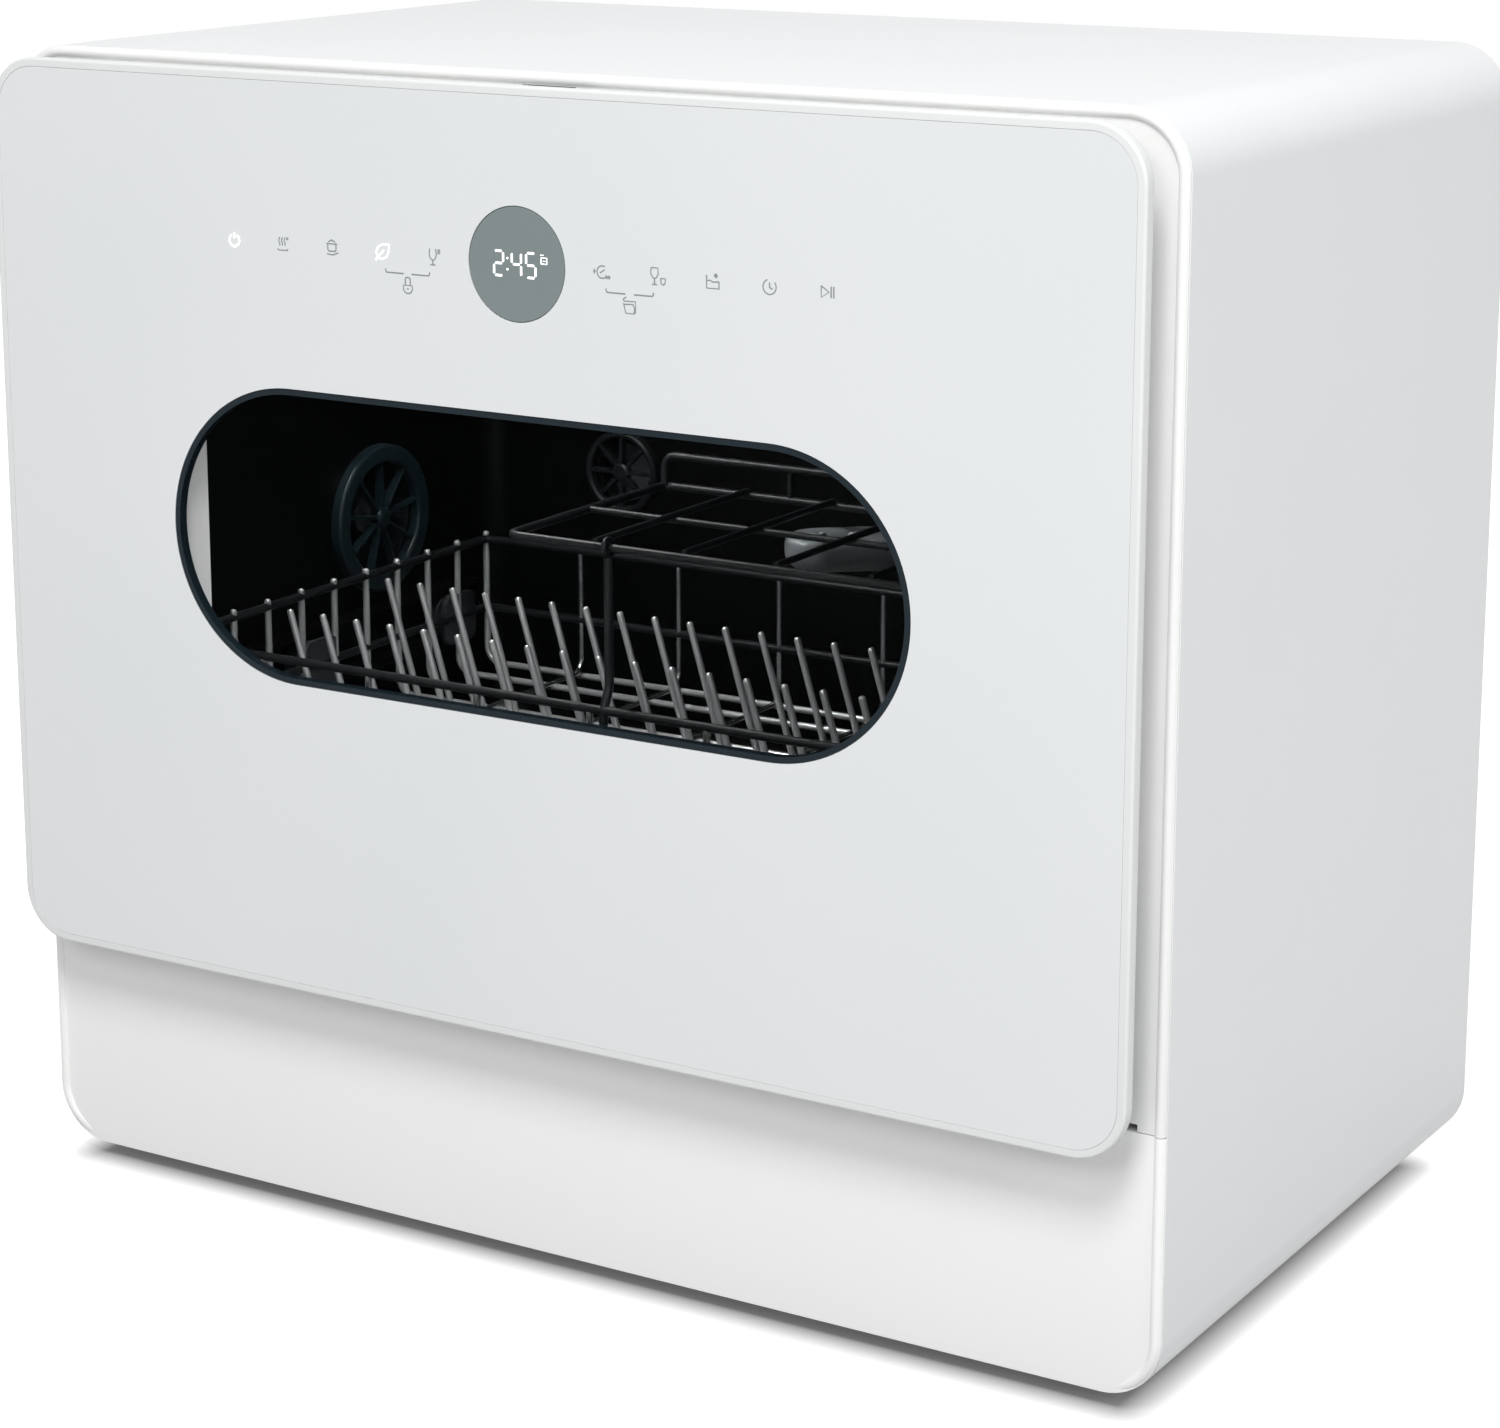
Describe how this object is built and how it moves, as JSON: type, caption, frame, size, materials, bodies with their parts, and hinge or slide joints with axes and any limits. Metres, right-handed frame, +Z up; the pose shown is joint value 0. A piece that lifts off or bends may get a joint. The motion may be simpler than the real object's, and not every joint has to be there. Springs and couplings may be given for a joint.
{
  "type": "countertop dishwasher",
  "caption": "Countertop dishwasher with a drop-down glass door, stadium window, round display, pull-out wire rack and two spray arms.",
  "frame": {"origin": "on the surface the machine stands on, under the centre of its overall box", "axes": "+X to the right of someone facing the door, +Y towards the back, +Z up; the door faces -Y"},
  "size_m": [0.48, 0.302, 0.438],
  "materials": {
    "white_enamel": "semi-gloss powder coat",
    "white_moulding": "gloss moulded",
    "printed_glass": "back-printed white, gloss",
    "smoked_glass": "smoked, gloss",
    "clear_glass": "clear, gloss",
    "display_glass": "grey, gloss",
    "dark_tub": "satin moulded",
    "grey_plastic": "satin moulded",
    "dark_plastic": "satin moulded",
    "light_plastic": "satin moulded",
    "blue_plastic": "gloss moulded",
    "circuit_board": "solder mask",
    "rubber": "matte",
    "rack_wire": "coated wire",
    "steel": "pressed sheet",
    "zinc_steel": "zinc plated"
  },
  "bodies": {
    "case": {"case_wrap": "white_enamel", "front_bezel": "white_moulding", "plinth_panel": "white_moulding", "rear_panel": "zinc_steel", "base_tray": "dark_plastic", "feet": "rubber", "tub": "dark_tub", "door_gasket": "rubber", "rack_rails": "grey_plastic", "sump": "dark_plastic", "filter_plate": "steel", "hub_post": "grey_plastic", "wash_pump": "dark_plastic", "drain_pump": "dark_plastic", "water_heater": "steel", "feed_pipe": "dark_plastic", "circulation_hose": "rubber", "drain_spigot": "dark_plastic", "inlet_valve": "light_plastic", "softener_tank": "light_plastic", "vent_grille": "dark_plastic", "breather_cover": "dark_tub", "fan_housing": "dark_plastic", "power_board": "circuit_board", "hinge_brackets": "zinc_steel", "hinge_pins": "steel", "latch_housing": "dark_plastic", "rear_screws": "steel", "cord_gland": "rubber"},
    "door": {"door_frame": "white_moulding", "door_glass": "printed_glass", "window_pane": "smoked_glass", "inner_pane": "clear_glass", "pane_seal": "rubber", "door_liner": "white_moulding", "display_lens": "display_glass", "display_module": "dark_plastic", "touch_board": "circuit_board", "hinge_arms": "zinc_steel", "dispenser_body": "light_plastic", "latch_hook": "light_plastic"},
    "dispenser_lid": {"dispenser_lid": "grey_plastic"},
    "rinse_cap": {"rinse_cap": "blue_plastic"},
    "open_pusher": {"open_pusher": "light_plastic"},
    "lower_arm": {"lower_spray_arm": "grey_plastic"},
    "upper_arm": {"upper_spray_arm": "grey_plastic"},
    "filter_cup": {"filter_cup": "light_plastic"},
    "salt_cap": {"salt_cap": "grey_plastic"},
    "fan_impeller": {"fan_impeller": "dark_plastic"},
    "rack": {"rack_floor": "rack_wire", "rack_front": "rack_wire", "rack_rear": "rack_wire", "rack_left": "rack_wire", "rack_right": "rack_wire", "rack_tines": "rack_wire"},
    "cup_shelf": {"cup_shelf": "rack_wire"},
    "front_rollers": {"front_rollers": "grey_plastic"},
    "rear_rollers": {"rear_rollers": "grey_plastic"}
  },
  "joints": [
    {"name": "door_hinge", "type": "hinge", "parent": "case", "child": "door", "pos_m": [0, -0.1392, 0.1032], "axis": [1, 0, 0], "range_deg": [0, 90]},
    {"name": "rack_slide", "type": "slide", "parent": "case", "child": "rack", "axis": [0, -1, 0], "range_m": [0, 0.09455]},
    {"name": "front_roller_spin", "type": "hinge", "parent": "rack", "child": "front_rollers", "pos_m": [0, -0.011, 0.178], "axis": [1, 0, 0], "range_deg": [0, 602]},
    {"name": "rear_roller_spin", "type": "hinge", "parent": "rack", "child": "rear_rollers", "pos_m": [0, 0.086, 0.178], "axis": [1, 0, 0], "range_deg": [0, 602]},
    {"name": "pusher_slide", "type": "slide", "parent": "case", "child": "open_pusher", "axis": [0, -1, 0], "range_m": [0, 0.0195]},
    {"name": "shelf_fold", "type": "hinge", "parent": "rack", "child": "cup_shelf", "pos_m": [0, -0.105, 0.268], "axis": [1, 0, 0], "range_deg": [0, 88]},
    {"name": "lower_arm_spin", "type": "hinge", "parent": "case", "child": "lower_arm", "pos_m": [0, 0.0035, 0.13], "axis": [0, 0, 1], "continuous": true},
    {"name": "upper_arm_spin", "type": "hinge", "parent": "case", "child": "upper_arm", "pos_m": [0.085, 0.03, 0.25], "axis": [0, 0, 1], "continuous": true},
    {"name": "fan_spin", "type": "hinge", "parent": "case", "child": "fan_impeller", "pos_m": [-0.228, 0.05, 0.227], "axis": [1, 0, 0], "continuous": true},
    {"name": "filter_twist", "type": "hinge", "parent": "case", "child": "filter_cup", "pos_m": [0.13, 0.0035, 0.1], "axis": [0, 0, 1], "range_deg": [0, 60]},
    {"name": "salt_cap_twist", "type": "hinge", "parent": "case", "child": "salt_cap", "pos_m": [-0.142, 0.063, 0.124], "axis": [0, 0, 1], "range_deg": [0, 330]},
    {"name": "lid_slide", "type": "slide", "parent": "door", "child": "dispenser_lid", "axis": [-1, 0, 0], "range_m": [0, 0.046]},
    {"name": "rinse_cap_twist", "type": "hinge", "parent": "door", "child": "rinse_cap", "pos_m": [0.012, -0.122, 0.1655], "axis": [0, 1, 0], "range_deg": [0, 90]}
  ],
  "couplings": [
    {"joint": "rack_slide", "follows": "door_hinge", "m_per_rad": 0.06},
    {"joint": "front_roller_spin", "follows": "door_hinge", "ratio": 6.6667},
    {"joint": "rear_roller_spin", "follows": "door_hinge", "ratio": 6.6667},
    {"joint": "pusher_slide", "follows": "door_hinge", "m_per_rad": 0.0124}
  ]
}
